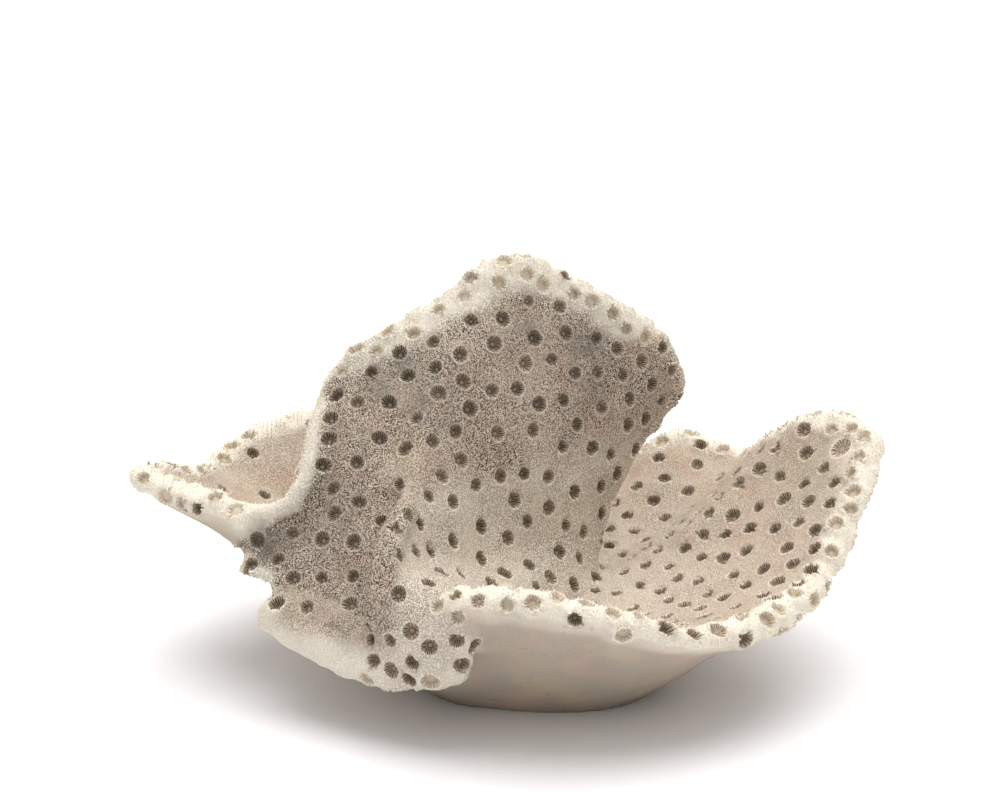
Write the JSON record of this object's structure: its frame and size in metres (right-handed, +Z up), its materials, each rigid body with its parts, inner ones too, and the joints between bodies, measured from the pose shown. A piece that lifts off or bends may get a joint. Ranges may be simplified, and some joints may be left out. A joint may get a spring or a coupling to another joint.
{
  "type": "mushroom coral",
  "caption": "Dried coral skeleton: a shallow stony cup with a tall folded frond, a rolled front lip and a pointed spout, on a flat cut foot.",
  "frame": {"origin": "middle of the footprint, on the flat cut that the coral rests on", "axes": "+Z up, +X to the right and +Y to the back, seen from the side where the tall frond's face shows"},
  "size_m": [0.2054, 0.1442, 0.11],
  "materials": {
    "coral_stone": "matt, porous, bleached"
  },
  "bodies": {
    "root": {"cup": "coral_stone", "tall_frond": "coral_stone", "front_lobe": "coral_stone"}
  },
  "joints": []
}
